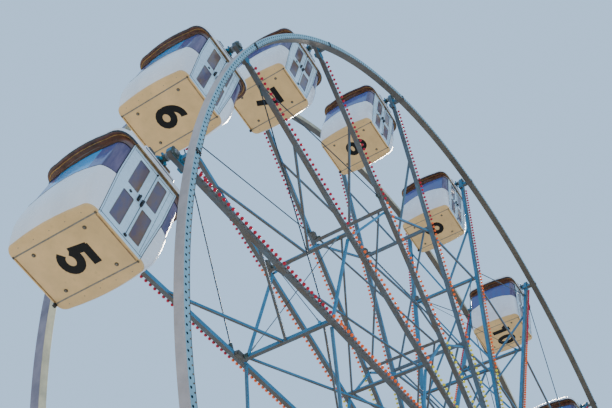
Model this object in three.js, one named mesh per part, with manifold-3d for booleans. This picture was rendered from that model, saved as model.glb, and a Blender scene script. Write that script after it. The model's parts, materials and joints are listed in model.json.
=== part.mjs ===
// Ferris wheel with sixteen level cabins, in millimetres, Z up, the floor at Z = 0.
// The wheel turns about the Y axis; its front side faces -Y.
import * as THREE from 'three';
import { ConvexGeometry } from 'three/addons/geometries/ConvexGeometry.js';
import { mergeVertices } from 'three/addons/utils/BufferGeometryUtils.js';
import Module from 'manifold-3d';

const wasm = await Module();
wasm.setup();

// Wheel.
const cabinCount = 16;
const stepAngle = 2 * Math.PI / cabinCount;
const firstAngle = THREE.MathUtils.degToRad(170);
const hubHeight = 13400;
const pivotRadius = 10500;
const fitGap = 0.3;
const fuseDepth = 5;

// Spoke trusses, each a ladder of two chords in the plane through the hub axis.
const chordOffset = 898;
const chordSize = 80;
const chordInner = 600;
const chordOuter = 10290;
const outerRingRadius = 6615;
const innerRingRadius = 3675;
const veeRadius = 8560;
const outerRingSize = 70;
const innerRingSize = 64;
const veeSize = 44;
const veeFoot = 20;
const crossSize = 36;
const crossReach = 750;
const hubCrossRadius = 900;
const strutOffset = 842;
const strutDrop = 90;
const outerStrutSize = 44;
const innerStrutSize = 42;
const rootDepth = 12;

// Tie bars, from the tip of every fourth spoke down to the outer ring of the spokes beside it.
const tieSize = 14;
const tieHead = 9730;
const tieFoot = 6850;
const tiedSpokeStep = 4;

// Cheek plates at the spoke tips, which hold the cabin pins and the rims.
const cheekHalfWidth = 85;
const cheekInner = 10170;
const cheekOuter = 10590;
const cheekTopHalfWidth = 35;
const cheekCorner = 60;
const padHalfWidth = 45;
const padInset = 10;
const pinRadius = 35;
const pinHoleRadius = 42;
const pinSides = 6;

// Rims.
const rimInner = 10280;
const rimOuter = 10400;
const rimFace = 1052;
const rimWidth = 158;
const rimSides = 48;

// Hub, axle and bearings.
const flangeThickness = 160;
const drumRadius = 330;
const boreRadius = 172;
const axleRadius = 160;
const collarRadius = 250;
const collarThickness = 60;
const axleHalfLength = 1960;
const roundSides = 16;
const bearingOffset = 1700;
const bearingThickness = 320;
const bearingHalfWidth = 330;
const bearingTop = 330;
const bearingBottom = -520;
const bearingChamfer = 150;
const bearingClearance = 0.4;

// Legs and sills.
const legSize = 320;
const legTopSpread = 175;
const legTopTrim = 5;
const footSpread = 5200;
const footOffset = 3600;
const sillWidth = 420;
const sillHeight = 220;
const sillOverhang = 700;

// Cabin, measured from its pivot.
const cabinBottom = -1860;
const skirtTop = -1770;
const flareLevel = -1600;
const bellyLevel = -1350;
const sillLevel = -960;
const glassTop = -410;
const lipBottom = -300;
const roofShoulder = -120;
const roofTop = -40;
const doorFace = 711;
const bottomHalfLength = 578;
const skirtHalfLength = 620;
const flareHalfLength = 690;
const bellyHalfLength = 712;
const waistHalfLength = 692;
const eavesHalfLength = 668;
const lipHalfLength = 795;
const bottomPanelHalf = 385;
const flarePanelHalf = 398;
const bellyPanelHalf = 417;
const waistPanelHalf = 445;
const endBow = 40;
const straightShare = 0.8;
const cornerFullness = 0.85;
const wallThickness = 40;
const lipOverhang = 25;
const shoulderInset = [45, 20, 30];
const crownInset = [240, 90, 200];
const floorLevel = -1770;
const ceilingLevel = -190;
const doorCentre = -165;
const sidePanelCentre = 191;
const paneHalfWidth = 96;
const upperPane = [-980, -420];
const lowerPane = [-1712, -1132];
const bandMargin = 15;
const cutReach = 1000;
const hangerHalfWidth = 150;
const hangerInner = 600;
const hangerOuter = 790;
const hangerTop = 75;
const hangerTopHalfWidth = 60;
const hangerFoot = -160;
const shoulderRadius = 62;
const shoulderEnd = chordOffset - chordSize / 2 - fitGap;
const pinEnd = 985;

const paints = {
  steelBlue: { color: 0x4b8cb4, roughness: 0.45, metalness: 0.1 },
  rimGrey: { color: 0x9fb4c4, roughness: 0.5, metalness: 0.15 },
  hubBlue: { color: 0x3f7398, roughness: 0.5, metalness: 0.15 },
  axleSteel: { color: 0x8c9092, roughness: 0.35, metalness: 0.9 },
  towerBlue: { color: 0x5c93b5, roughness: 0.5, metalness: 0.1 },
  cabinWhite: { color: 0xe9ebee, roughness: 0.25, metalness: 0.0 },
};

// Solid of a closed geometry, for joining and cutting.
function solidOf(geometry) {
  geometry.deleteAttribute('normal');
  geometry.deleteAttribute('uv');
  const merged = mergeVertices(geometry, 1e-3);
  const mesh = new wasm.Mesh({
    numProp: 3,
    vertProperties: new Float32Array(merged.attributes.position.array),
    triVerts: new Uint32Array(merged.index.array),
  });
  return new wasm.Manifold(mesh);
}

function geometryOf(solid) {
  const mesh = solid.getMesh();
  const geometry = new THREE.BufferGeometry();
  geometry.setAttribute('position', new THREE.BufferAttribute(new Float32Array(mesh.vertProperties), 3));
  geometry.setIndex(new THREE.BufferAttribute(new Uint32Array(mesh.triVerts), 1));
  return geometry;
}

function join(solids) {
  return solids.reduce((whole, next) => whole.add(next));
}

function block(low, high) {
  const size = high.map((value, axis) => value - low[axis]);
  const geometry = new THREE.BoxGeometry(...size);
  geometry.translate(...high.map((value, axis) => (value + low[axis]) / 2));
  return solidOf(geometry);
}

// Outline points [x, z] carried along Y from one offset to another.
function plate(points, fromY, toY, holes = []) {
  const shape = new THREE.Shape(points.map(([x, z]) => new THREE.Vector2(x, z)));
  for (const hole of holes) {
    shape.holes.push(new THREE.Path(hole.map(([x, z]) => new THREE.Vector2(x, z))));
  }
  const geometry = new THREE.ExtrudeGeometry(shape, { depth: toY - fromY, bevelEnabled: false });
  geometry.rotateX(Math.PI / 2);
  geometry.translate(0, toY, 0);
  return solidOf(geometry);
}

function polygon(radius, sides, turn = 0, centreZ = 0) {
  return Array.from({ length: sides }, (_, index) => {
    const angle = turn - 2 * Math.PI * index / sides;
    return [radius * Math.sin(angle), centreZ + radius * Math.cos(angle)];
  });
}

// Square bar between two points.
function bar(from, to, size) {
  const start = new THREE.Vector3(...from);
  const end = new THREE.Vector3(...to);
  const geometry = new THREE.BoxGeometry(size, size, start.distanceTo(end));
  const place = new THREE.Matrix4().lookAt(end, start, new THREE.Vector3(1, 0, 0));
  place.setPosition(start.clone().add(end).multiplyScalar(0.5));
  geometry.applyMatrix4(place);
  return solidOf(geometry);
}

// Point [x, radius] of the next spoke, seen from this one.
function onNextSpoke(x, radius) {
  return [
    x * Math.cos(stepAngle) + radius * Math.sin(stepAngle),
    radius * Math.cos(stepAngle) - x * Math.sin(stepAngle),
  ];
}

// Bar in the plane of the wheel from this spoke's side to just short of the next one.
function sideBar(face, fromRadius, toRadius, size, offset) {
  const start = new THREE.Vector2(face, fromRadius);
  const end = new THREE.Vector2(...onNextSpoke(-face - fitGap, toRadius));
  const along = end.clone().sub(start).normalize();
  const halfAtStart = size / 2 / along.x;
  const halfAtEnd = size / 2 / along.clone().rotateAround(new THREE.Vector2(), stepAngle).x;
  const root = face - rootDepth;
  const rootRadius = fromRadius - rootDepth * along.y / along.x;
  const outline = [
    [root, rootRadius - halfAtStart],
    onNextSpoke(-face - fitGap, toRadius - halfAtEnd),
    onNextSpoke(-face - fitGap, toRadius + halfAtEnd),
    [root, rootRadius + halfAtStart],
  ];
  return plate(outline, offset - size / 2, offset + size / 2);
}

// Chord, cheek plate and rim pad on one side of a spoke, with its struts and its tie to the next one.
// Side is -1 in front and 1 behind; ties lists pairs of radii, on this spoke and on the next.
function spokeSide(side, ties) {
  const spanY = (near, far) => [Math.min(side * near, side * far), Math.max(side * near, side * far)];
  const half = chordSize / 2;
  const [low, high] = spanY(chordOffset - half, chordOffset + half);
  const chord = block([-half, low, chordInner + fitGap], [half, high, chordOuter]);
  const cheekOutline = [
    [-cheekHalfWidth, cheekInner],
    [cheekHalfWidth, cheekInner],
    [cheekHalfWidth, cheekOuter - cheekCorner],
    [cheekTopHalfWidth, cheekOuter],
    [-cheekTopHalfWidth, cheekOuter],
    [-cheekHalfWidth, cheekOuter - cheekCorner],
  ];
  const pinHole = polygon(pinHoleRadius, pinSides, 0, pivotRadius);
  const cheek = plate(cheekOutline, low, high);
  const bore = plate(pinHole, low - fuseDepth, high + fuseDepth);
  const [padLow, padHigh] = spanY(chordOffset + half - fuseDepth, rimFace - fitGap);
  const padBottom = rimInner + padInset;
  const padTop = rimOuter - padInset;
  const pad = block([-padHalfWidth, padLow, padBottom], [padHalfWidth, padHigh, padTop]);
  const solids = [chord, cheek, pad];
  for (const [ringRadius, size] of [[outerRingRadius, outerStrutSize], [innerRingRadius, innerStrutSize]]) {
    const radius = ringRadius - strutDrop;
    solids.push(sideBar(half, radius, radius, size, side * strutOffset));
  }
  for (const [here, there] of ties) {
    solids.push(sideBar(half, here, there, tieSize, side * chordOffset));
  }
  return join(solids).subtract(bore);
}

// Ladder truss standing along +Z from the hub axis.
function spokeSolid(ties) {
  const solids = [spokeSide(-1, ties), spokeSide(1, ties)];
  for (const [radius, size] of [[outerRingRadius, outerRingSize], [innerRingRadius, innerRingSize]]) {
    solids.push(bar([0, -chordOffset, radius], [0, chordOffset, radius], size));
  }
  for (const side of [-1, 1]) {
    const edge = side * chordOffset;
    const reach = side * crossReach;
    solids.push(bar([0, edge, veeRadius], [0, side * veeFoot, outerRingRadius], veeSize));
    solids.push(bar([0, reach, outerRingRadius], [0, -reach, innerRingRadius], crossSize));
    solids.push(bar([0, reach, innerRingRadius], [0, -edge, hubCrossRadius], crossSize));
  }
  return join(solids);
}

function rimSolid(side) {
  const turn = firstAngle;
  const low = Math.min(side * rimFace, side * (rimFace + rimWidth));
  const outer = polygon(rimOuter, rimSides, turn);
  const inner = polygon(rimInner, rimSides, turn);
  return plate(outer, low, low + rimWidth, [inner]);
}

// Two sixteen-sided flanges on a drum, bored for the axle.
function hubSolid() {
  const corner = chordInner / Math.cos(stepAngle / 2);
  const flange = polygon(corner, cabinCount, firstAngle + stepAngle / 2);
  const bore = polygon(boreRadius, roundSides);
  const half = flangeThickness / 2;
  const drum = plate(polygon(drumRadius, cabinCount, firstAngle), -chordOffset, chordOffset);
  const flanges = [-1, 1].map((side) => plate(flange, side * chordOffset - half, side * chordOffset + half));
  const reach = chordOffset + flangeThickness;
  return join([drum, ...flanges]).subtract(plate(bore, -reach, reach));
}

// Axle with a thrust collar against the outer face of each hub flange.
function axleSolid() {
  const near = chordOffset + flangeThickness / 2 + fitGap;
  const collar = polygon(collarRadius, roundSides);
  return join([
    plate(polygon(axleRadius, roundSides), -axleHalfLength, axleHalfLength),
    plate(collar, near, near + collarThickness),
    plate(collar, -near - collarThickness, -near),
  ]);
}

// Block around the end of the axle, on top of a pair of legs.
function bearingSolid(side) {
  const outline = [
    [-bearingHalfWidth, bearingBottom],
    [bearingHalfWidth, bearingBottom],
    [bearingHalfWidth, bearingTop - bearingChamfer],
    [bearingHalfWidth - bearingChamfer, bearingTop],
    [bearingChamfer - bearingHalfWidth, bearingTop],
    [-bearingHalfWidth, bearingTop - bearingChamfer],
  ];
  const low = side * bearingOffset - bearingThickness / 2;
  const bore = polygon(axleRadius + bearingClearance, roundSides);
  return plate(outline, low, low + bearingThickness, [bore]);
}

// Leg from the underside of a bearing to a sill, splayed both ways.
function legSolid(acrossX, acrossY) {
  const half = legSize / 2;
  const top = hubHeight + bearingBottom - fitGap;
  const bottom = sillHeight + fitGap;
  const section = (x, y, z, reach) => [[-1, -1], [1, -1], [1, 1], [-1, 1]].map(
    ([a, b]) => new THREE.Vector3(x + a * reach, y + b * half, z),
  );
  const topPoints = section(acrossX * legTopSpread, acrossY * bearingOffset, top, half - legTopTrim);
  const footPoints = section(acrossX * footSpread, acrossY * footOffset, bottom, half);
  return solidOf(new ConvexGeometry([...topPoints, ...footPoints]));
}

function longSill(side) {
  const reach = footSpread + sillOverhang;
  const centre = side * footOffset;
  return block([-reach, centre - sillWidth / 2, 0], [reach, centre + sillWidth / 2, sillHeight]);
}

function crossSill(side) {
  const reach = footOffset - sillWidth / 2 - fitGap;
  const centre = side * footSpread;
  return block([centre - sillWidth / 2, -reach, 0], [centre + sillWidth / 2, reach, sillHeight]);
}

// Outline of the cabin at one level: flat door faces, bowed ends and round corners.
// A fullness below one makes the corners squarer than an ellipse.
function cabinOutline(halfLength, panelHalf, halfWidth, level) {
  const cornerSteps = 2;
  const straight = halfWidth * straightShare;
  const endAt = (y) => halfLength - endBow * (y / straight) ** 2;
  const points = [];
  for (const alongX of [-1, 1]) {
    points.push(new THREE.Vector3(alongX * halfLength, 0, level));
    for (const alongY of [-1, 1]) {
      for (let step = 0; step <= cornerSteps; step += 1) {
        const angle = Math.PI / 2 * step / cornerSteps;
        const alongCorner = Math.max(Math.cos(angle), 0) ** cornerFullness;
        const acrossCorner = Math.sin(angle) ** cornerFullness;
        const x = panelHalf + (endAt(straight) - panelHalf) * alongCorner;
        const y = straight + (halfWidth - straight) * acrossCorner;
        points.push(new THREE.Vector3(alongX * x, alongY * y, level));
      }
    }
  }
  return points;
}

// Body of the cabin from its bottom to the roof.
function bodyHull() {
  return solidOf(new ConvexGeometry([
    ...cabinOutline(bottomHalfLength, bottomPanelHalf, doorFace, cabinBottom),
    ...cabinOutline(skirtHalfLength, bottomPanelHalf, doorFace, skirtTop),
    ...cabinOutline(flareHalfLength, flarePanelHalf, doorFace, flareLevel),
    ...cabinOutline(bellyHalfLength, bellyPanelHalf, doorFace, bellyLevel),
    ...cabinOutline(waistHalfLength, waistPanelHalf, doorFace, sillLevel),
    ...cabinOutline(eavesHalfLength, waistPanelHalf, doorFace, lipBottom),
  ]));
}

// Room inside the walls, from the floor to the ceiling under the roof.
function roomHull() {
  const inside = (halfLength, panelHalf, level) => cabinOutline(
    halfLength - wallThickness,
    panelHalf - wallThickness,
    doorFace - wallThickness,
    level,
  );
  return solidOf(new ConvexGeometry([
    ...inside(skirtHalfLength, bottomPanelHalf, floorLevel),
    ...inside(flareHalfLength, flarePanelHalf, flareLevel),
    ...inside(bellyHalfLength, bellyPanelHalf, bellyLevel),
    ...inside(waistHalfLength, waistPanelHalf, sillLevel),
    ...inside(eavesHalfLength, waistPanelHalf, ceilingLevel),
  ]));
}

function roofHull() {
  const lip = [lipHalfLength, waistPanelHalf, doorFace + lipOverhang];
  const inset = (amounts) => lip.map((size, index) => size - amounts[index]);
  return solidOf(new ConvexGeometry([
    ...cabinOutline(...lip, lipBottom),
    ...cabinOutline(...inset(shoulderInset), roofShoulder),
    ...cabinOutline(...inset(crownInset), roofTop),
  ]));
}

// Hanger block on the roof, with the shouldered pin that turns in the cheek plate.
function hangerSolid(side) {
  const outline = [
    [-hangerHalfWidth, hangerFoot],
    [hangerHalfWidth, hangerFoot],
    [hangerTopHalfWidth, hangerTop],
    [-hangerTopHalfWidth, hangerTop],
  ];
  const span = (near, far) => [Math.min(side * near, side * far), Math.max(side * near, side * far)];
  const shoe = plate(outline, ...span(hangerInner, hangerOuter));
  const shoulder = plate(polygon(shoulderRadius, pinSides), ...span(hangerOuter - fuseDepth, shoulderEnd));
  const pin = plate(polygon(pinRadius, pinSides), ...span(shoulderEnd - fuseDepth, pinEnd));
  return join([shoe, shoulder, pin]);
}

function paneCuts() {
  const cuts = [];
  for (const centre of [doorCentre, sidePanelCentre]) {
    for (const [bottom, top] of [lowerPane, upperPane]) {
      cuts.push(block([centre - paneHalfWidth, -cutReach, bottom], [centre + paneHalfWidth, cutReach, top]));
    }
  }
  for (const side of [-1, 1]) {
    const near = side * (waistPanelHalf + bandMargin);
    const far = side * cutReach;
    cuts.push(block([Math.min(near, far), -cutReach, sillLevel], [Math.max(near, far), cutReach, glassTop]));
  }
  return join(cuts);
}

// Hollow cabin about its pivot: floor, walls, windows, roof and hangers.
function cabinSolid() {
  const shell = bodyHull().add(roofHull());
  return join([
    shell.subtract(roomHull()).subtract(paneCuts()),
    hangerSolid(-1),
    hangerSolid(1),
  ]);
}

const wheel = new THREE.Group();
wheel.name = 'ferris_wheel';

function addNode(name, geometry, paint) {
  const mesh = new THREE.Mesh(geometry, new THREE.MeshStandardMaterial(paints[paint]));
  mesh.name = name;
  mesh.material.name = paint;
  wheel.add(mesh);
}

function raised(solid) {
  return geometryOf(solid).translate(0, 0, hubHeight);
}

function twoDigits(number) {
  return String(number).padStart(2, '0');
}

const plainSpoke = spokeSolid([]);
const spokeBeforeTied = spokeSolid([[tieFoot, tieHead]]);
const tiedSpoke = spokeSolid([[tieHead, tieFoot]]);
const spokes = [spokeBeforeTied, tiedSpoke, plainSpoke, plainSpoke];
const cabin = cabinSolid();
for (let index = 0; index < cabinCount; index += 1) {
  const angle = firstAngle + index * stepAngle;
  const pivotX = pivotRadius * Math.sin(angle);
  const pivotZ = hubHeight + pivotRadius * Math.cos(angle);
  const label = twoDigits(index + 1);
  const spoke = geometryOf(spokes[index % tiedSpokeStep]).rotateY(angle).translate(0, 0, hubHeight);
  addNode(`spoke_${label}`, spoke, 'steelBlue');
  addNode(`cabin_${label}`, geometryOf(cabin).translate(pivotX, 0, pivotZ), 'cabinWhite');
}
addNode('front_rim', raised(rimSolid(-1)), 'rimGrey');
addNode('rear_rim', raised(rimSolid(1)), 'rimGrey');
addNode('hub', raised(hubSolid()), 'hubBlue');
addNode('axle', raised(axleSolid()), 'axleSteel');
addNode('front_bearing', raised(bearingSolid(-1)), 'towerBlue');
addNode('rear_bearing', raised(bearingSolid(1)), 'towerBlue');
addNode('front_left_leg', geometryOf(legSolid(-1, -1)), 'towerBlue');
addNode('front_right_leg', geometryOf(legSolid(1, -1)), 'towerBlue');
addNode('rear_left_leg', geometryOf(legSolid(-1, 1)), 'towerBlue');
addNode('rear_right_leg', geometryOf(legSolid(1, 1)), 'towerBlue');
addNode('front_sill', geometryOf(longSill(-1)), 'towerBlue');
addNode('rear_sill', geometryOf(longSill(1)), 'towerBlue');
addNode('left_sill', geometryOf(crossSill(-1)), 'towerBlue');
addNode('right_sill', geometryOf(crossSill(1)), 'towerBlue');

export default wheel;
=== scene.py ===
"""Looks of a fairground ferris wheel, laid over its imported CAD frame.

Lengths are metres, Z is up, the front of the wheel faces -Y and it turns about the Y axis.
Shapes are worked out as whole arrays. A form is a pair: its points, and a list of
(faces, finish) where faces is an array of corner numbers and finish names a material.
"""

import json
import math

import bpy
import numpy as np
from bpy.props import FloatProperty, FloatVectorProperty, PointerProperty
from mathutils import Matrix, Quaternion, Vector


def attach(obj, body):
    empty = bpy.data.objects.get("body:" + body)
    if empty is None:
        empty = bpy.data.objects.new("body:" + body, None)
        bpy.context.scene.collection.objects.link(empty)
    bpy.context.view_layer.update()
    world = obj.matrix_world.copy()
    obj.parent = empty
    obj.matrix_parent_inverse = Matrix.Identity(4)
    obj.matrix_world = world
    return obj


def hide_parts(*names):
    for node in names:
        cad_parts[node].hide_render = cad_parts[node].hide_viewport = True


bl_info = {
    "name": "Ferris wheel looks",
    "version": (1, 0, 0),
    "blender": (4, 5, 0),
    "location": "View3D > Sidebar > Wheel",
    "description": "Dresses the packed ferris wheel with its detailed cabins, lamps, rims and steelwork",
    "category": "Object",
}

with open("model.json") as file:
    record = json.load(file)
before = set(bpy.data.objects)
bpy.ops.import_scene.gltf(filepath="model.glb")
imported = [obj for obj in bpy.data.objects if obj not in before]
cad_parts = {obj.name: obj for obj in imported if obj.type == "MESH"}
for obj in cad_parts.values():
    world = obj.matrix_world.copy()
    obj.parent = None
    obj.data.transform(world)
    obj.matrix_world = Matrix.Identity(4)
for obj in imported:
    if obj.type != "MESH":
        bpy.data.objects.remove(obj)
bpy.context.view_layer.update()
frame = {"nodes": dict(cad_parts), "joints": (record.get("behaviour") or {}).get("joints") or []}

# The wheel.
CABINS = 16
STEP = 2 * math.pi / CABINS
FIRST_ANGLE = math.radians(170)
JOINTS = {joint["child"]: np.array(joint["pos_m"]) for joint in frame["joints"]}
HUB = JOINTS["wheel"]
PIVOT_RADIUS = 10.5
SHARP_ANGLE = math.radians(34)
MILLIMETRE = 0.001
UP, DOWN, FRONT = (0.0, 0.0, 1.0), (0.0, 0.0, -1.0), (0.0, -1.0, 0.0)
PLATE_EASE = 0.002

# Spokes: Y or half a width across the wheel, and radii along it.
CHORD_Y, CHORD_HALF = 0.898, 0.040
OUTER_RING, INNER_RING, RING_HALF = 6.615, 3.675, 0.035
TIED_STEP = 4
TIE_HEAD, TIE_FOOT = 9.73, 6.85
WIRE_Y, WIRE_RADIUS = 0.70, 6.645
LAMP_FIRST, LAMP_LAST = 0.76, 10.06
LAMP_STAND = 0.039
ORANGE_FROM, RED_FROM = 3.64, 6.72

# Rims: radii, and distances from the wheel's middle plane.
RIM_INNER, RIM_OUTER = 10.28, 10.40
RIM_BACK, RIM_FRONT = 1.054, 1.21
RIM_EASE = 0.005
HOLES_PER_BAY = 38
HOLE_CENTRE, HOLE_DEPTH = 10.360, 0.05
SOCKET_CENTRE, EDGE_LINE = 10.309, 10.291
JOINT_LEAN = 0.42

# Cabin, from its pivot; the tables run up from the underside.
UNDERSIDE = -1.86
LEVELS = [UNDERSIDE, -1.77, -1.60, -1.35, -0.96, -0.30, 0.0]
HALF_LENGTHS = [0.578, 0.620, 0.690, 0.712, 0.692, 0.668, 0.668]
PANEL_TOP = 0.445
PANEL_HALVES = [0.385, 0.385, 0.398, 0.417, PANEL_TOP, PANEL_TOP, PANEL_TOP]
KINK_REACH = 0.08
DOOR_FACE, DOOR_FOOT, DOOR_HEAD = 0.711, -1.777, -0.355
END_BOW = 0.04
BODY_CORNER = (0.80, 0.85)
ROOF_CORNER = (0.62, 0.78)
CABIN_HALF = 0.7
WALL = 0.04
CEILING_LEVEL = -0.19
PANE_SPANS = ((-0.262, -0.068), (0.096, 0.286))
PANE_LEVELS = ((-1.712, -1.135), (-0.98, -0.418))
PANES = [(*span, *level) for span in PANE_SPANS for level in PANE_LEVELS]
LEAF_SEAM = 0.055
BAND_SILL, BAND_CORNER_SILL, BAND_TOP = -0.945, -1.06, -0.425
FLOOR_ROW = 3
LOWER_PANE_ROWS = (4, 8)
UPPER_PANE_ROWS = (9, 12)
DUSKY_CABINS = range(7, 11)

# Hub and stand.
HUB_FACE = CHORD_Y + 0.08
BEARING_Y, BEARING_HALF = 1.70, 0.16
AXLE_END = 1.96
LEG_TOP, LEG_TOP_SPREAD = 12.88, 0.175
FOOT_SPREAD, FOOT_Y = 5.2, 3.6
SILL_TOP, SILL_MIDDLE, SILL_END = 0.22, 0.11, 5.9

# Stage.
CAMERA_PLACE = (-13.2584, -6.5725, 1.5823)
CAMERA_TURN = (0.269485, 0.837608, -0.469495, -0.073247)
CAMERA_LENS, CAMERA_SENSOR = 51.42, 36.0
FLOOR_REACH, FLOOR_DROP = 90.0, 0.002
SKY_STRENGTH = 1.32

# Finishes that several pieces share.
STEELWORK = "alkyd_paint_steelwork"
LUG_BLUE = "alkyd_paint_bright_lugs"
RIM_SIDE = "alkyd_paint_rim_side"
PAINTED_SHADE = "shadowed_steel_recess"
CAST_GREY, CAST_GREEN = "sand_cast_iron_grey", "sand_cast_iron_green"
GALVANISED, TURNED = "galvanised_steel", "turned_steel"
RUSTED = "rusted_steel_bracket"
WIRE_ROPE = "greased_wire_rope"
GEL_WHITE, GEL_BEIGE = "gel_coat_white", "gel_coat_beige"
SKY_LIT_ENAMEL = "baked_enamel_door"
LINING = "painted_ply_lining"
WOOD = "varnished_wood_lip"
GOLD = "anodised_gold_trim"
RUBBER, PLUG = "epdm_rubber", "olive_rubber_plug"
PLASTIC = "moulded_black_plastic"
SILICONE = "grey_silicone_joint"
HUB_PAINT, TOWER_PAINT = "satin_paint_hub", "satin_paint_tower"


def linear(hex_colour):
    """Linear red, green and blue of an sRGB hex colour."""
    levels = np.array([int(hex_colour[at:at + 2], 16) for at in (1, 3, 5)]) / 255
    return tuple(np.where(levels <= 0.04045, levels / 12.92, ((levels + 0.055) / 1.055) ** 2.4))


def colour_property(label, hint, hex_colour):
    return FloatVectorProperty(name=label, description=hint, subtype="COLOR", size=3, min=0, max=1,
                               default=linear(hex_colour))


def length_property(label, hint, value):
    return FloatProperty(name=label, description=hint, unit="LENGTH", default=value, min=0)


class WheelColours(bpy.types.PropertyGroup):
    """Colours of the paint, the shells and the lamps."""
    steel: colour_property("Steelwork", "Satin paint on the spokes", "#4586aa")
    # Painted shade and dust: faces of the steelwork that point down are darkened towards this colour.
    steel_dust: colour_property("Steelwork dust", "Dust on faces that point down", "#665b52")
    rim_side: colour_property("Rim side", "Paint on the pierced side of the rims", "#82b0c2")
    rim_outer: colour_property("Rim tread", "Paint on the outside of the rims", "#b9aeae")
    # Painted shade: this dark brown-grey stands in for shade on the inside of the rims.
    rim_inner: colour_property("Rim inside", "Paint on the inside of the rims", "#625a50")
    shell: colour_property("Cabin shell", "Gel coat on the ends and the roof", "#ecebf2")
    # Its light blue tint is painted sky light on the door faces.
    door: colour_property("Cabin door", "Enamel on the door faces", "#cbe4f6")
    underside: colour_property("Cabin underside", "Gel coat under the floor", "#e6bd84")
    glass: colour_property("Glass", "Tint of the windows", "#45aef2")
    red_lamp: colour_property("Outer lamps", "Caps from the rim to the outer ring", "#b4002e")
    orange_lamp: colour_property("Middle lamps", "Caps between the two rings", "#f8661a")
    yellow_lamp: colour_property("Inner lamps", "Caps from the inner ring to the hub", "#ecd92c")
    tower: colour_property("Tower", "Satin paint on the legs and the ground frame", "#4a93bf")


class WheelSizes(bpy.types.PropertyGroup):
    """Sizes of the repeated small pieces."""
    lamp_pitch: length_property("Lamp spacing", "From one lamp to the next along a spoke", 0.104)
    lamp_radius: length_property("Lamp radius", "Half the width of a lamp cap", 0.029)
    hole_radius: length_property("Rim hole radius", "Half the width of a hole in the rim side", 0.019)
    numeral_height: length_property("Numeral height", "Height of the numeral under a cabin", 0.52)
    wire_radius: length_property("Wire radius", "Half the thickness of the crossing wires", 0.007)


# Forms.

def turned_out(points, faces):
    """The same form with its faces outwards: all are turned where the signed volume of their fans
    is negative."""
    volume = 0.0
    for corners, _ in faces:
        first = points[corners[:, 0]]
        for step in range(1, corners.shape[1] - 1):
            side = np.cross(points[corners[:, step]], points[corners[:, step + 1]])
            volume += float(np.einsum("ij,ij->", first, side))
    if volume < 0:
        faces = [(corners[:, ::-1], finish) for corners, finish in faces]
    return points, faces


def loft(rings, finish, hoop=False):
    """Skin through closed outlines: corner k of one outline is joined to corner k of the next.

    A hoop joins the last outline to the first; otherwise a flat cap shuts each end.
    finish is one name, or one for each band."""
    rings = np.asarray(rings, float)
    rows, columns = rings.shape[:2]
    bands = rows if hoop else rows - 1
    names = [finish] * bands if isinstance(finish, str) else list(finish)
    here = np.arange(columns)
    after = np.roll(here, -1)
    faces = []
    for row, name in enumerate(names):
        low, high = row * columns, (row + 1) % rows * columns
        faces.append((np.stack([low + here, low + after, high + after, high + here], 1), name))
    if not hoop:
        faces.append((here[None, ::-1], names[0]))
        faces.append(((rows - 1) * columns + here[None, :], names[-1]))
    return turned_out(rings.reshape(-1, 3), faces)


def basis(axis, hint=UP):
    """Three unit rows, the last along axis and the second as near to hint as can be."""
    along = np.asarray(axis, float) / np.linalg.norm(axis)
    hint = np.asarray(hint, float)
    if abs(along @ hint) > 0.99 * np.linalg.norm(hint):
        hint = np.array([1.0, 0.0, 0.0])
    first = np.cross(hint, along)
    first /= np.linalg.norm(first)
    return np.stack([first, np.cross(along, first), along])


def rounded_outline(half_width, half_height, radius, steps=2):
    """Corners are quarter circles about centres drawn in by the radius; straight sides join them."""
    corner = np.arange(4)[:, None] + np.linspace(0, 1, steps + 1)[None, :]
    angle = corner * math.pi / 2
    signs = np.array([[1, 1], [-1, 1], [-1, -1], [1, -1]])
    centre = signs * [half_width - radius, half_height - radius]
    return (centre[:, None, :] + radius * np.stack([np.cos(angle), np.sin(angle)], -1)).reshape(-1, 2)


def plate_between(outline, low, high, ease, finish, axes):
    """A flat outline carried from low to high along the third axis, drawn in a little at both ends."""
    outline = np.asarray(outline, float)
    middle = outline.mean(0)
    reach = np.abs(outline - middle).max(0)
    small = middle + (outline - middle) * (1 - ease / np.maximum(reach, ease * 2))
    levels = [(small, low), (outline, low + ease), (outline, high - ease), (small, high)]
    rings = [np.column_stack([flat, np.full(len(flat), level)]) @ axes for flat, level in levels]
    return loft(rings, finish)


def in_wheel_plane(outline, y, thickness, finish):
    """Flat plate in the plane of the wheel; its outline is given as (x, z) pairs."""
    axes = np.eye(3)[[0, 2, 1]]
    return plate_between(outline, y - thickness / 2, y + thickness / 2, PLATE_EASE, finish, axes)


def block(centre, size, finish, ease=0.004, axes=None):
    """Box with eased edges: a rounded outline of the first two sizes is carried along the third."""
    axes = np.eye(3) if axes is None else axes
    outline = rounded_outline(size[0] / 2, size[1] / 2, ease * 1.5, 1)
    points, faces = plate_between(outline, -size[2] / 2, size[2] / 2, ease, finish, axes)
    return points + np.asarray(centre, float), faces


def blocks(finish, ease, *rows):
    """Boxes of one finish, each given as its centre and its size."""
    return [block(centre, size, finish, ease) for centre, size in rows]


def beam(start, end, width, depth, finish, hint=UP, ease=0.004):
    """Box with eased edges from one point to another."""
    start, end = np.asarray(start, float), np.asarray(end, float)
    length = float(np.linalg.norm(end - start))
    return block((start + end) / 2, (width, depth, length), finish, ease, basis(end - start, hint))


def lathe(profile, centre, axis, finish, sides=12, hoop=False):
    """A profile of (radius, distance along the axis) turned about the axis."""
    angle = np.arange(sides) * 2 * math.pi / sides
    axes = basis(axis)
    round_axis = np.stack([np.cos(angle), np.sin(angle)], -1) @ axes[:2]
    profile = np.asarray(profile, float)
    rings = profile[:, 0, None, None] * round_axis + profile[:, 1, None, None] * axes[2]
    return loft(rings + np.asarray(centre, float), finish, hoop)


def rod(start, end, radius, finish, sides=8):
    """Round bar from one point to another with eased ends."""
    start, end = np.asarray(start, float), np.asarray(end, float)
    length = float(np.linalg.norm(end - start))
    ease = min(radius * 0.3, length / 4)
    profile = [(radius - ease, 0), (radius, ease), (radius, length - ease), (radius - ease, length)]
    return lathe(profile, start, end - start, finish, sides)


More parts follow.
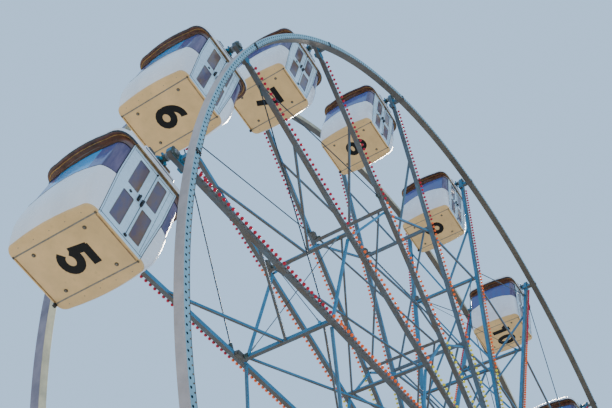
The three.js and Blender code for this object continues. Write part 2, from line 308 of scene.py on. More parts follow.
def sweep(path, section, normals, finish, closed=False):
    """A section of (sideways, outwards) pairs carried along a path; outwards leans on the normals."""
    path = np.asarray(path, float)
    ahead = np.roll(path, -1, 0) - np.roll(path, 1, 0) if closed else np.gradient(path, axis=0)
    ahead = ahead / np.linalg.norm(ahead, axis=1)[:, None]
    side = np.cross(ahead, np.broadcast_to(np.asarray(normals, float), path.shape))
    side = side / np.linalg.norm(side, axis=1)[:, None]
    out = np.cross(side, ahead)
    section = np.asarray(section, float)
    rings = path[:, None] + side[:, None] * section[None, :, :1] + out[:, None] * section[None, :, 1:]
    return loft(rings, finish, closed)


def strip_section(width, proud=0.003, sunk=0.002):
    """Flat strip with its two outer edges eased, lying a little into the surface."""
    half = width / 2
    ease = min(proud, half) * 0.5
    return [(-half, -sunk), (half, -sunk), (half, proud - ease), (half - ease, proud),
            (ease - half, proud), (-half, proud - ease)]


def circle(radius, y, count, first=FIRST_ANGLE):
    """Points about the axle, evenly turned from the first angle: the radius times sine and cosine."""
    turn = first + np.arange(count) * 2 * math.pi / count
    return np.column_stack([radius * np.sin(turn), np.full(count, y), radius * np.cos(turn)])


def copies(form, places):
    """The same form at many places."""
    points, faces = form
    places = np.asarray(places, float)
    shift = (np.arange(len(places)) * len(points))[:, None, None]
    return (points[None] + places[:, None]).reshape(-1, 3), [
        ((corners[None] + shift).reshape(-1, corners.shape[1]), finish) for corners, finish in faces]


def bolts(places, axis, across=0.03, height=0.014):
    """Six-sided heads on washers, standing along the axis."""
    radius = across / 2
    profile = [(radius * 1.35, -0.001), (radius * 1.35, 0.003), (radius, 0.003), (radius, height * 0.8),
               (radius * 0.82, height)]
    points, faces = lathe(profile, (0, 0, 0), UP, GALVANISED, 6)
    return copies((points @ basis(axis), faces), places)


def grid(xs, ys, zs):
    """Places at every pairing of the given x, y and z, each one value or several."""
    return np.stack(np.meshgrid(xs, ys, zs, indexing="ij"), -1).reshape(-1, 3)


def moved(forms, shift):
    return [(points + shift, faces) for points, faces in forms]


def about_axle(angle):
    """Turn about the Y axis from +Z towards +X, by which rows of points are multiplied."""
    cosine, sine = math.cos(angle), math.sin(angle)
    return np.array([[cosine, 0, -sine], [0, 1, 0], [sine, 0, cosine]])


def at_spoke(forms, index):
    """Forms made along +Z, turned to the direction of a spoke."""
    turn = about_axle(FIRST_ANGLE + index * STEP)
    return [(points @ turn, faces) for points, faces in forms]


def at_every_spoke(forms, between=0.0):
    """The same forms at all sixteen spokes, or a share of a step past them."""
    return [form for index in range(CABINS) for form in at_spoke(forms, index + between)]


def both_sides(forms):
    """Forms and their mirror images across y = 0, whose faces are turned back outwards."""
    return forms + [(points * (1, -1, 1), [(corners[:, ::-1], finish) for corners, finish in faces])
                    for points, faces in forms]


def welded(points, faces):
    """Points that agree to a hundredth of a millimetre become one."""
    _, kept, number = np.unique(np.round(points, 5), axis=0, return_index=True, return_inverse=True)
    number = number.reshape(-1)
    return points[kept], [(number[corners], finish) for corners, finish in faces]


def make_piece(name, forms, body, replaced=()):
    """One mesh object from several forms, riding on a body, each face with its own finish."""
    finishes = sorted({finish for _, faces in forms for _, finish in faces})
    points = np.concatenate([part for part, _ in forms])
    shift = np.cumsum([0] + [len(part) for part, _ in forms[:-1]])
    groups = [(corners + start, finishes.index(finish))
              for start, (_, faces) in zip(shift, forms) for corners, finish in faces]
    loops = np.concatenate([corners.ravel() for corners, _ in groups])
    totals = np.concatenate([np.full(len(corners), corners.shape[1]) for corners, _ in groups])
    indices = np.concatenate([np.full(len(corners), number) for corners, number in groups])
    mesh = bpy.data.meshes.new(name)
    mesh.vertices.add(len(points))
    mesh.vertices.foreach_set("co", points.astype(np.float32).ravel())
    mesh.loops.add(len(loops))
    mesh.loops.foreach_set("vertex_index", loops.astype(np.int32))
    mesh.polygons.add(len(totals))
    mesh.polygons.foreach_set("loop_start", (np.cumsum(totals) - totals).astype(np.int32))
    mesh.polygons.foreach_set("material_index", indices.astype(np.int32))
    mesh.update(calc_edges=True)
    if mesh.validate():
        raise RuntimeError(f"{name} had faces that could not be kept")
    mesh.shade_smooth()
    mesh.set_sharp_from_angle(angle=SHARP_ANGLE)
    for finish in finishes:
        mesh.materials.append(bpy.data.materials[finish])
    piece = bpy.data.objects.new(name, mesh)
    bpy.context.scene.collection.objects.link(piece)
    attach(piece, body)
    if replaced:
        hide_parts(*replaced)


def labels():
    return [f"{number:02d}" for number in range(1, CABINS + 1)]


# Finishes.

def add_node(tree, kind, inputs=None, **settings):
    """Adds a node with its settings; inputs holds a value or another node's output for each socket."""
    made = tree.nodes.new(kind)
    for key, value in settings.items():
        setattr(made, key, value)
    for socket, value in (inputs or {}).items():
        if isinstance(value, bpy.types.NodeSocket):
            tree.links.new(value, made.inputs[socket])
        else:
            made.inputs[socket].default_value = value
    return made


def toned(tone, light=None):
    """Linear colour of a hex code or of a share of the light tone; any other is linear already."""
    if isinstance(tone, str):
        return linear(tone)
    if isinstance(tone, float):
        return tuple(min(level * tone, 1.0) for level in light)
    return tuple(tone)


def rgba(colour):
    return (*toned(colour), 1.0)


def surface(name, light, dark, patch, grain, roughness, bump, fixed=None, shade_and_dust=None, shade_and_dust_share=0.0,
            specks=None, speck_share=0.5, streak=1.0):
    """A finish in layers: two tones in broad patches, specks, dusty painted shade on faces that point down,
    and a fine grain in the roughness and the relief.

    patch is the size of the patches and grain the size of the grain, both in millimetres; bump is the
    depth of the relief in millimetres; streak draws the patches out along Z; fixed holds values for the
    shader's own sockets."""
    material = bpy.data.materials.new(name)
    material.use_nodes = True
    tree = material.node_tree
    tree.nodes.clear()
    place = add_node(tree, "ShaderNodeTexCoord").outputs
    light = toned(light)

    def noise(vector, size, detail, rough=0.5):
        """Noise with patches of a size in millimetres."""
        inputs = {"Vector": vector, "Scale": 1 / (size * MILLIMETRE), "Detail": detail, "Roughness": rough}
        return add_node(tree, "ShaderNodeTexNoise", inputs).outputs[0]

    def ramp(value, low, high, start=0.0, stop=1.0):
        """A value from low to high carried to start to stop, and held there beyond them."""
        return add_node(tree, "ShaderNodeMapRange", {0: value, 1: low, 2: high, 3: start, 4: stop},
                        clamp=True).outputs[0]

    def layered(share, under, over):
        return add_node(tree, "ShaderNodeMix", {0: share, 6: under, 7: over}, data_type="RGBA").outputs[2]

    stretch = {"Vector": place["Object"], "Scale": (1, 1, 1 / streak)}
    patches = noise(add_node(tree, "ShaderNodeMapping", stretch).outputs[0], patch, 5.0, 0.6)
    fine = noise(place["Object"], grain, 3.0)
    tone = layered(ramp(patches, 0.35, 0.68), rgba(light), rgba(toned(dark, light)))
    if specks is not None:
        spots = noise(place["Object"], grain / 0.35, 6.0, 0.7)
        tone = layered(ramp(spots, 0.6, 0.68, stop=speck_share), tone, rgba(toned(specks, light)))
    # Painted shade and dust: faces whose normal points down are darkened, unevenly, towards the given
    # colour.
    if shade_and_dust is not None:
        facing = add_node(tree, "ShaderNodeSeparateXYZ", {0: place["Normal"]})
        down = ramp(facing.outputs[2], -0.12, -0.7, stop=shade_and_dust_share)
        uneven = ramp(patches, 0.25, 0.6, start=0.7)
        amount = add_node(tree, "ShaderNodeMath", {0: down, 1: uneven}, operation="MULTIPLY")
        tone = layered(amount.outputs[0], tone, rgba(shade_and_dust))
    relief = add_node(tree, "ShaderNodeBump", {
        "Height": fine, "Strength": 0.35, "Distance": bump * MILLIMETRE})
    rough = ramp(fine, 0.3, 0.7, max(roughness - 0.07, 0.02), min(roughness + 0.09, 1.0))
    shader = add_node(tree, "ShaderNodeBsdfPrincipled", {
        "Base Color": tone, "Roughness": rough, "Normal": relief.outputs[0], **(fixed or {})})
    add_node(tree, "ShaderNodeOutputMaterial", {"Surface": shader.outputs[0]})


def make_finishes(colours):
    """Every finish on the wheel, under the name of the real material."""
    shade_and_dust, chipped = colours.steel_dust, "#6d5a48"
    # Alkyd paint brushed on steel: weathered to a low sheen, blotchy, chipped down to a brown primer, with
    # painted shade and dust on faces that point down.
    surface(STEELWORK, colours.steel, 0.72, 260, 7, 0.58, 0.25, {"Specular IOR Level": 0.2}, shade_and_dust, 0.95,
            chipped, 0.45)
    # Blue paint on the lugs, with painted shade and dust on faces that point down.
    surface(LUG_BLUE, "#1f93bd", "#146a94", 60, 5, 0.34, 0.2, None, "#3d4c52", 0.6)
    # The same paint on the rims: paler with chalk on the sides, greyed by rain on the treads; the sides
    # take painted shade and dust on faces that point down.
    surface(RIM_SIDE, colours.rim_side, 0.78, 320, 8, 0.45, 0.3, None, shade_and_dust, 0.55, "#6f8790", 0.4)
    surface("alkyd_paint_rim_tread", colours.rim_outer, 0.82, 240, 6, 0.5, 0.3, specks="#7f7f86")
    # The rear rim's tread, darker and more violet: painted shade.
    surface("alkyd_paint_rim_tread_aged", "#8b8698", "#6c687c", 240, 6, 0.6, 0.3, specks="#6d6a66")
    # The inside of the rims, dark brown-grey: painted shade.
    surface("alkyd_paint_rim_inside", colours.rim_inner, 0.72, 200, 6, 0.55, 0.35, specks="#54504a")
    # The faces towards the wheel's middle, cream: painted sunlight, with painted shade and dust on faces
    # that point down.
    surface("alkyd_paint_rim_back", "#e6d9b4", "#b3a98f", 300, 7, 0.5, 0.3, None, shade_and_dust, 0.35)
    # Bare steel down in the rim's holes: dull and dark, as no light gets there.
    surface(PAINTED_SHADE, "#2b5063", "#1c3442", 30, 4, 0.7, 0.2)
    # Hot-dip galvanised steel: grey, with dull spangle patches about 12 mm wide.
    surface(GALVANISED, "#8d9294", "#6c7174", 12, 3, 0.48, 0.15, {"Metallic": 0.85})
    # Cast iron under primer: coarse sand grain and no gloss.
    surface(CAST_GREY, "#63615e", "#45433f", 40, 4, 0.72, 0.8)
    surface(CAST_GREEN, "#4c5a55", "#2c3634", 40, 4, 0.6, 0.7)
    # Turned steel: bright, with fine dark bands of old grease.
    surface(TURNED, "#9a9c9d", "#6e6f70", 25, 2, 0.3, 0.05, {"Metallic": 0.95})
    surface(RUSTED, "#8a6a4c", "#5e4632", 22, 3, 0.78, 0.6)
    # Gel coat on moulded glass fibre: hard gloss over a faintly wavy surface, rain streaks on the sides.
    surface(GEL_WHITE, colours.shell, 0.88, 420, 90, 0.22, 0.5,
            {"Coat Weight": 0.35, "Coat Roughness": 0.08}, streak=3.0)
    surface(GEL_BEIGE, colours.underside, 0.82, 330, 30, 0.42, 0.5, specks=0.62, speck_share=0.35)
    # Baked enamel on the door leaves: smooth, cool white with a light blue tint that is painted sky light
    # on the door faces.
    surface(SKY_LIT_ENAMEL, colours.door, 0.88, 300, 80, 0.26, 0.3,
            {"Coat Weight": 0.25, "Coat Roughness": 0.1}, streak=2.5)
    surface(LINING, "#7c7a80", "#66636a", 260, 9, 0.6, 0.3)
    # Stained and varnished lip under the roof edge: brown, with a thin clear gloss.
    surface(WOOD, "#6e4637", "#3c261d", 90, 6, 0.38, 0.3,
            {"IOR": 1.52, "Coat Weight": 0.3, "Coat Roughness": 0.15})
    surface(GOLD, "#c9a263", "#8a6a3a", 70, 3, 0.32, 0.05, {"Metallic": 0.6})
    # EPDM rubber: matt black-grey with a dusty bloom. Plastic and vinyl: near black, smoother.
    surface(RUBBER, "#23262b", "#14161a", 45, 3, 0.62, 0.2)
    surface(PLASTIC, "#1b1c20", "#0e0f12", 30, 2, 0.38, 0.1, {"IOR": 1.46})
    surface("cut_vinyl_black", "#08080b", "#050506", 120, 5, 0.6, 0.08, {"IOR": 1.35})
    # Silicone and sealed joints: dull grey, a little brown with dust.
    surface(SILICONE, "#84817a", "#68655b", 60, 4, 0.62, 0.15)
    surface(PLUG, "#5d513c", "#3f3729", 30, 3, 0.6, 0.2)
    # Greased wire rope and the dark sleeves on the tie bars: near black, with a weak metal sheen.
    surface(WIRE_ROPE, "#2f3a45", "#1f272f", 14, 2, 0.5, 0.5, {"Metallic": 0.3})
    # Tinted acrylic: blue along the ends, violet by the doors, glossy, with a little dust; partly clear.
    tint = {"IOR": 1.49, "Transmission Weight": 0.1, "Specular IOR Level": 0.22}
    surface("tinted_acrylic_blue", colours.glass, 0.82, 620, 60, 0.12, 0.1, tint)
    surface("tinted_acrylic_dusk", "#5c5f98", "#4f66a4", 160, 50, 0.12, 0.1, tint, streak=4.0)
    surface("tinted_acrylic_violet", "#796a88", "#453e68", 95, 50, 0.12, 0.1, tint, streak=6.0)
    surface("tinted_acrylic_door", "#635c78", "#84684f", 210, 40, 0.14, 0.1, tint, streak=2.0)
    # Moulded polycarbonate lamp caps: waxy gloss, and daylight inside the clear plastic makes them glow.
    for name in ("red", "orange", "yellow"):
        colour = getattr(colours, f"{name}_lamp")
        glow = {"Emission Color": rgba(colour), "Emission Strength": 0.14}
        surface(f"polycarbonate_cap_{name}", colour, 0.8, 18, 4, 0.3, 0.1,
                {"IOR": 1.58, "Specular IOR Level": 0.3, **glow})
    # Folded sheet channel under the lamps: a dull grey-brown sheet over the chords' outward faces, which is
    # painted shade on those faces.
    surface("folded_steel_channel", "#66625c", "#4e4b47", 210, 6, 0.6, 0.2)
    # Satin paint sprayed on the hub and the stand: a soft sheen, chipped like the steelwork, with painted
    # shade and dust on faces that point down.
    surface(HUB_PAINT, "#4b8db6", "#356d90", 240, 7, 0.44, 0.3, None, shade_and_dust, 0.6, chipped, 0.4)
    surface(TOWER_PAINT, colours.tower, 0.75, 340, 8, 0.46, 0.3, None, shade_and_dust, 0.6, chipped, 0.4, streak=2.0)


def node_finish(name):
    """Real finish of a CAD node that stays in view, told from its name."""
    if name.endswith("_rim"):
        return RIM_SIDE
    known = {"spoke": STEELWORK, "cabin": GEL_WHITE, "hub": HUB_PAINT, "axle": TURNED}
    return known.get(name.split("_")[0], TOWER_PAINT)


# Spokes. Each is made standing along +Z from the axle.

def lamp(finish, radius):
    """Dome on a collar and a thin stem, standing on the origin along Z: the dome's radius is a cosine
    of its height."""
    stem = lathe([(0.009, -0.002), (0.009, LAMP_STAND)], (0, 0, 0), UP, GALVANISED, 5)
    rise = np.linspace(-0.16 * math.pi, 0.44 * math.pi, 5)
    dome = np.column_stack([radius * np.cos(rise), LAMP_STAND + radius * (0.5 + 1.1 * np.sin(rise))])
    return [stem, lathe(dome, (0, 0, 0), UP, finish, 7)]


def spoke_lamps(sizes):
    """Lamps on a grey channel along the outward face of both chords of a spoke; the channel's grey is
    painted shade on that face.
    """
    radii = np.arange(LAMP_FIRST, LAMP_LAST, sizes.lamp_pitch)
    zones = {"yellow": radii < ORANGE_FROM, "orange": (radii >= ORANGE_FROM) & (radii < RED_FROM),
             "red": radii >= RED_FROM}
    forms = []
    for side in (-1, 1):
        turn = basis((0, side, 0))
        face = side * (CHORD_Y + CHORD_HALF)
        ends = [(0, face + side * 0.003, radius) for radius in (LAMP_FIRST - 0.09, LAMP_LAST + 0.04)]
        forms.append(beam(*ends, 0.076, 0.008, "folded_steel_channel", (0, 1, 0), 0.002))
        for colour, chosen in zones.items():
            places = [(0, face, radius) for radius in radii[chosen]]
            for points, faces in lamp(f"polycarbonate_cap_{colour}", sizes.lamp_radius):
                forms.append(copies((points @ turn, faces), places))
    return forms


def beside_next(x, y, radius):
    """Point beside the next spoke, seen from this one."""
    return np.array([x * math.cos(STEP) + radius * math.sin(STEP), y,
                     radius * math.cos(STEP) - x * math.sin(STEP)])


def sleeve_and_brackets(head, foot):
    """Dark sleeve over the half of a tie bar's line between two points, with a bracket at its foot."""
    along = (foot - head) / np.linalg.norm(foot - head)
    return [
        rod(head, foot, 0.0115, WIRE_ROPE),
        rod(head + along * 0.06, head + along * 0.22, 0.019, CAST_GREEN),
        beam(foot - along * 0.13, foot - along * 0.01, 0.050, 0.062, CAST_GREEN, (0, 1, 0), 0.006),
    ]


def tie_sleeves(index):
    """Sleeves of the tie bars from this spoke to the next; only the spokes beside a tied one have them."""
    place = index % TIED_STEP
    if place > 1:
        return []
    here, there = (TIE_FOOT, TIE_HEAD) if place == 0 else (TIE_HEAD, TIE_FOOT)
    forms = []
    for y in (-CHORD_Y, CHORD_Y):
        ends = [np.array([CHORD_HALF, y, here]), beside_next(-CHORD_HALF, y, there)]
        head, foot = reversed(ends) if place == 0 else ends
        forms += sleeve_and_brackets(head, foot)
    return forms


def crossing_wires(index, radius):
    """Two wires that cross between the outer ring bars of this spoke and the next, with their lugs."""
    if index % TIED_STEP:
        return []
    forms = []
    for side in (-1, 1):
        start = np.array([RING_HALF, side * WIRE_Y, WIRE_RADIUS])
        end = beside_next(-RING_HALF, -side * WIRE_Y, WIRE_RADIUS)
        along = (end - start) / np.linalg.norm(end - start)
        forms.append(rod(start, end, radius, WIRE_ROPE, 6))
        for tip, way in ((start, along), (end, -along)):
            forms.append(rod(tip + way * 0.05, tip + way * 0.19, radius * 1.8, GALVANISED, 6))
            forms.append(beam(tip - way * 0.04, tip + way * 0.05, 0.030, 0.055, LUG_BLUE, (0, 1, 0)))
    return forms


def spoke_fittings():
    """Weld beads, node block and pivot bearings of a spoke."""
    inner_face = CHORD_Y - CHORD_HALF
    bead = RING_HALF * 2 + 0.014
    forms = []
    for side in (-1, 1):
        for ring in (OUTER_RING, INNER_RING):
            centre = (0, side * (inner_face - 0.003), ring)
            forms.append(block(centre, (bead, 0.010, bead), STEELWORK, 0.003))
        forms += pivot_bearing(side)
    return forms + [
        block((0, 0.830, OUTER_RING + 0.120), (0.11, 0.105, 0.16), CAST_GREY, 0.012),
        block((0, 0.830, OUTER_RING + 0.208), (0.06, 0.06, 0.03), CAST_GREY, 0.008),
        block((0, 0.735, OUTER_RING + 0.055), (0.08, 0.06, 0.04), CAST_GREEN, 0.006),
    ]


def pivot_bearing(side):
    """Flanged bearing on the outward face of a chord tip, and the collar on its inward face."""
    face, back = side * (CHORD_Y + CHORD_HALF), side * (CHORD_Y - CHORD_HALF)
    out = (0, side, 0)
    flange = rounded_outline(0.078, 0.078, 0.02) + [0, PIVOT_RADIUS]
    ring = [(0.044, 0), (0.066, 0), (0.066, 0.014), (0.058, 0.026), (0.044, 0.026)]
    corners = grid((-0.057, 0.057), face + side * 0.012, (PIVOT_RADIUS - 0.057, PIVOT_RADIUS + 0.057))
    return [
        in_wheel_plane(flange, face + side * 0.006, 0.012, CAST_GREEN),
        lathe(ring, (0, face, PIVOT_RADIUS), out, CAST_GREEN, 16, hoop=True),
        bolts(corners, out, 0.022, 0.012),
        *blocks(LUG_BLUE, 0.006, ((0, back - side * 0.02, PIVOT_RADIUS - 0.24), (0.17, 0.04, 0.09)),
                ((0, face + side * 0.02, PIVOT_RADIUS - 0.14), (0.11, 0.04, 0.07))),
    ]


# Rims.

def rim_shell(side, hole):
    """Ring of box section. On its outward side each hole has a cell: the cell's four corners and
    four mid-sides are joined to an eight-sided hole, which sinks into the box and is shut at its bottom.
    The other faces are hoops of (radius, distance from the middle) turned about the axle."""
    count = CABINS * HOLES_PER_BAY
    half = math.pi / count
    centre = FIRST_ANGLE + half * (2 * np.arange(count) + 1)
    low, high = RIM_INNER + RIM_EASE, RIM_OUTER - RIM_EASE
    edge_turn = np.array([-1, 0, 1, 1, 1, 0, -1, -1]) * half
    edge_radius = np.array([low, low, low, HOLE_CENTRE, high, high, high, HOLE_CENTRE])
    spread = np.radians(np.arange(8) * 45 - 135)
    hole_turn = hole * np.cos(spread) / HOLE_CENTRE
    hole_radius = HOLE_CENTRE + hole * np.sin(spread)

    def ring_points(turn, radius, y):
        angle = centre[:, None] + turn[None]
        return np.stack([radius * np.sin(angle), np.full_like(angle, side * y), radius * np.cos(angle)], -1)

    layers = np.concatenate([
        ring_points(edge_turn, edge_radius, RIM_FRONT),
        ring_points(hole_turn, hole_radius, RIM_FRONT),
        ring_points(hole_turn, hole_radius, RIM_FRONT - HOLE_DEPTH),
    ], 1)
    here = np.arange(8)
    after = np.roll(here, -1)
    first = (np.arange(count) * 24)[:, None, None]
    plate = (first + np.stack([here, after, 8 + after, 8 + here], 1)[None]).reshape(-1, 4)
    wall = (first + np.stack([8 + here, 8 + after, 16 + after, 16 + here], 1)[None]).reshape(-1, 4)
    bottom = first[:, 0] + (16 + here)[None]
    faces = [(plate, RIM_SIDE), (wall, PAINTED_SHADE), (bottom, PAINTED_SHADE)]

    profile = [(high, RIM_FRONT), (RIM_OUTER, RIM_FRONT - RIM_EASE), (RIM_OUTER, RIM_BACK + RIM_EASE),
               (high, RIM_BACK), (low, RIM_BACK), (RIM_INNER, RIM_BACK + RIM_EASE),
               (RIM_INNER, RIM_FRONT - RIM_EASE), (low, RIM_FRONT)]
    # The rear rim's tread is painted darker and more violet than the front one's: painted shade. The inside
    # is painted dark brown-grey as painted shade, and the faces towards the wheel's middle cream as painted
    # sunlight.
    tread = "alkyd_paint_rim_tread" if side < 0 else "alkyd_paint_rim_tread_aged"
    bands = [tread] * 2 + ["alkyd_paint_rim_back"] * 3 + ["alkyd_paint_rim_inside"] * 2
    columns = 2 * count
    rings = [circle(radius, side * y, columns) for radius, y in profile]
    base = np.arange(columns)
    ahead = np.roll(base, -1)
    for row, finish in enumerate(bands):
        lower = count * 24 + row * columns
        upper = lower + columns
        faces.append((np.stack([lower + base, upper + base, upper + ahead, lower + ahead], 1), finish))
    return [turned_out(*welded(np.concatenate([layers.reshape(-1, 3), *rings]), faces))]


def rim_fittings(side):
    """Sockets and a dark line along the inner edge of the pierced side, and the black joint at every
    spoke."""
    middle = (RIM_INNER + RIM_OUTER) / 2
    socket = lathe([(0.011, -0.002), (0.011, 0.006), (0.007, 0.009)], (0, 0, 0), (0, side, 0), RUSTED, 6)
    places = circle(SOCKET_CENTRE, side * RIM_FRONT, CABINS * HOLES_PER_BAY)
    corners = [(EDGE_LINE - 0.004, RIM_FRONT - 0.001), (EDGE_LINE + 0.004, RIM_FRONT - 0.001),
               (EDGE_LINE + 0.004, RIM_FRONT + 0.0015), (EDGE_LINE - 0.004, RIM_FRONT + 0.0015)]
    line = [circle(radius, side * y, CABINS * 12) for radius, y in corners]
    # The four pads and the bar of a joint stand askew on the rim.
    lean = about_axle(-side * JOINT_LEAN)
    pads = grid((-0.022, 0.022), side * (RIM_FRONT + 0.004), (middle - 0.030, middle + 0.030))
    joint = [block(pad, (0.022, 0.018, 0.062), PLASTIC, 0.004, lean) for pad in pads]
    bar = (0, side * (RIM_FRONT + 0.002), middle)
    joint.append(block(bar, (0.010, 0.012, 0.12), GALVANISED, 0.002, lean))
    return [copies(socket, places), loft(line, RUBBER, hoop=True), *at_every_spoke(joint)]


# Cabins. Each is made about its pivot.

def cabin_columns(share, power):
    """Columns of the cabin's skin, anticlockwise from above, from the left edge of the front door face.

    Each is a row of weights: a fixed x, then the shares of the door panel's half width, of the half
    length and of the end's bow that make up x, then the share of the half width that makes y, then
    how far round the end it stands, from 0 on the door face to 1 at the end.

    A corner at angle a runs as sine and cosine of a, each raised to a power; share is the straight part
    of the half width."""
    inner = [-0.262, -0.165, -0.068, 0.0, LEAF_SEAM, 0.096, 0.191, 0.286]
    door = np.array([[0, -1, 0, 0, -1, 0], *([x, 0, 0, 0, -1, 0] for x in inner), [0, 1, 0, 0, -1, 0]])
    round_corner = np.radians([4, 11, 20, 32, 45, 58, 72, 85])
    out, back = np.sin(round_corner) ** power, np.cos(round_corner) ** power
    corner = np.column_stack([0 * out, 1 - out, out, out, -(share + (1 - share) * back),
                              round_corner / (math.pi / 2)])
    end = np.array([[0, 0, 1, v * v, v * share, 1] for v in (-1, -0.66, -0.33, 0, 0.33, 0.66, 1)])
    flip_y = np.array([1, 1, 1, 1, -1, 1])
    flip_x = np.array([1, -1, -1, -1, 1, 1])
    right = np.concatenate([corner, end, corner[::-1] * flip_y])
    # The left end runs from the back corner round to the front one.
    columns = np.concatenate([door, right, (door * flip_y)[::-1], (right * flip_x)[::-1]])
    return columns, len(door), len(corner), len(end)


COLUMNS, DOOR_COUNT, CORNER_COUNT, END_COUNT = cabin_columns(*BODY_CORNER)
ROOF_COLUMNS = cabin_columns(*ROOF_CORNER)[0]
END_STARTS = (DOOR_COUNT, 2 * (DOOR_COUNT + CORNER_COUNT) + END_COUNT)
# Cells of the skin that lie on a door face: both their columns stand nowhere round an end.
ON_DOOR = (COLUMNS[:, 5] == 0) & (np.roll(COLUMNS[:, 5], -1) == 0)


def plan_x(columns, panel, along):
    """Distance of each column along the cabin, from its weights, the half panel and the half length."""
    fixed, of_panel, of_length, of_bow = columns.T[:4]
    return fixed + of_panel * panel + of_length * along - np.sign(of_length) * np.abs(of_bow) * END_BOW


def eased_table(levels, table):
    """Values of a table at some heights, its kinks rounded by averaging a little below, at and above."""
    reach = np.minimum(KINK_REACH, levels - LEVELS[0])
    return sum(np.interp(levels + shift * reach, LEVELS, table) for shift in (-1, 0, 0, 1)) / 4


def cabin_skin(levels, inset=0.0):
    """Points of the cabin's skin: levels is an array of heights, rows x columns.

    The half length, panel and width are read off their tables at each height, less the inset."""
    x = plan_x(COLUMNS, eased_table(levels, PANEL_HALVES), eased_table(levels, HALF_LENGTHS) - inset)
    y = np.broadcast_to(COLUMNS[:, 4] * (DOOR_FACE - inset), x.shape)
    return np.stack([x, y, levels], -1)


def cabin_levels():
    """Heights of the skin's rows at every column: level on the door face, curved round the ends.

    The window runs from one door face round to the other; its sill sags a little round each corner
    and rises to the middle of the end as the square of the distance from it."""
    door = np.array([UNDERSIDE, -1.852, -1.832, -1.77, -1.712, -1.56, -1.42, -1.275, -1.135, -0.98,
                     -0.80, -0.61, -0.418, -0.345, -0.30])
    round_end = COLUMNS[:, 5]
    corner_sill = BAND_CORNER_SILL - 0.03 * np.sin(math.pi * round_end)
    end_sill = BAND_SILL + (BAND_CORNER_SILL - BAND_SILL) * np.abs(COLUMNS[:, 3])
    sill = np.where(round_end < 1, corner_sill, end_sill)
    on_end = (COLUMNS[:, 1] != 0) | (COLUMNS[:, 2] != 0)
    levels = np.repeat(door[:, None], len(COLUMNS), 1)
    low, high = UPPER_PANE_ROWS
    levels[low] = np.where(on_end, sill, door[low])
    levels[high] = np.where(on_end, BAND_TOP, door[high])
    for row in range(low + 1, high):
        levels[row] = levels[low] + (levels[high] - levels[low]) * (row - low) / (high - low)
    levels[low - 1] = np.where(on_end, np.minimum(door[low - 1], levels[low] - 0.06), door[low - 1])
    return levels


def end_span(start):
    """Columns from one door face round an end to the other, both door edges included."""
    return np.arange(start - 1, start + 2 * CORNER_COUNT + END_COUNT + 1) % len(COLUMNS)


def open_cells(rows):
    """Cells of the skin that are cut away for the panes and for the window round each end."""
    cut = np.zeros((rows - 1, len(COLUMNS)), bool)
    fixed = COLUMNS[:, 0]
    after = np.roll(fixed, -1)
    middle = (fixed + after) / 2
    for left, right in PANE_SPANS:
        chosen = ON_DOOR & (fixed != 0) & (after != 0) & (middle > left) & (middle < right)
        for start, stop in (LOWER_PANE_ROWS, UPPER_PANE_ROWS):
            cut[start:stop, chosen] = True
    for start in END_STARTS:
        cut[slice(*UPPER_PANE_ROWS), end_span(start)[:-1]] = True
    return cut


def cabin_shell():
    """Hollow body: an outer and an inner skin on the same rows and columns, joined round every opening
    and along the top, with a flat underside and a flat floor."""
    levels = cabin_levels()
    rows, columns = levels.shape
    outer = cabin_skin(levels)
    # The lowest two rows are drawn in, so that the underside has an eased edge.
    outer[0, :, :2] *= 1 - 0.020 / CABIN_HALF
    outer[1, :, :2] *= 1 - 0.006 / CABIN_HALF
    inner = cabin_skin(levels[FLOOR_ROW:], inset=WALL)
    cut = open_cells(rows)
    here = np.arange(columns)
    after = np.roll(here, -1)
    faces = [(here[None, ::-1], GEL_BEIGE), (rows * columns + here[None, :], LINING)]
    for row in range(rows - 1):
        # a to d go round a cell of the outer skin from its lower left corner, e to h round the inner.
        low, high = row * columns, (row + 1) * columns
        a, b, c, d = outer_cell = (low + here, low + after, high + after, high + here)
        e, f, g, h = (corner + (rows - FLOOR_ROW) * columns for corner in outer_cell)
        solid = ~cut[row]
        end = GEL_BEIGE if row < 2 else WOOD if row >= UPPER_PANE_ROWS[1] else GEL_WHITE
        found = [(solid & ON_DOOR, (a, b, c, d), GEL_BEIGE if row < 1 else SKY_LIT_ENAMEL),
                 (solid & ~ON_DOOR, (a, b, c, d), end)]
        if row >= FLOOR_ROW:
            found += [(solid, (e, h, g, f), LINING),
                      (cut[row] & ~cut[row - 1], (a, b, f, e), RUBBER),
                      (cut[row] & ~np.roll(cut, -1, 0)[row], (c, d, h, g), RUBBER),
                      (cut[row] & ~np.roll(cut[row], 1), (a, e, h, d), RUBBER),
                      (cut[row] & ~np.roll(cut[row], -1), (f, b, c, g), RUBBER)]
        faces += [(np.stack(loop, 1)[chosen], finish) for chosen, loop, finish in found if chosen.any()]
    # Here d, c, g and h are still those of the top row.
    faces.append((np.stack([d, c, g, h], 1), LINING))
    return [turned_out(np.concatenate([outer.reshape(-1, 3), inner.reshape(-1, 3)]), faces)]


def roof_outline(level, along, width, pull=0.0):
    """The cabin's plan at a level, from its half length and width, its door panel drawn in by the pull."""
    panel = PANEL_TOP - pull
    x = plan_x(ROOF_COLUMNS, panel, along) + ROOF_COLUMNS[:, 0] * (panel / PANEL_TOP - 1)
    return np.column_stack([x, ROOF_COLUMNS[:, 4] * width, np.full(len(x), level)])


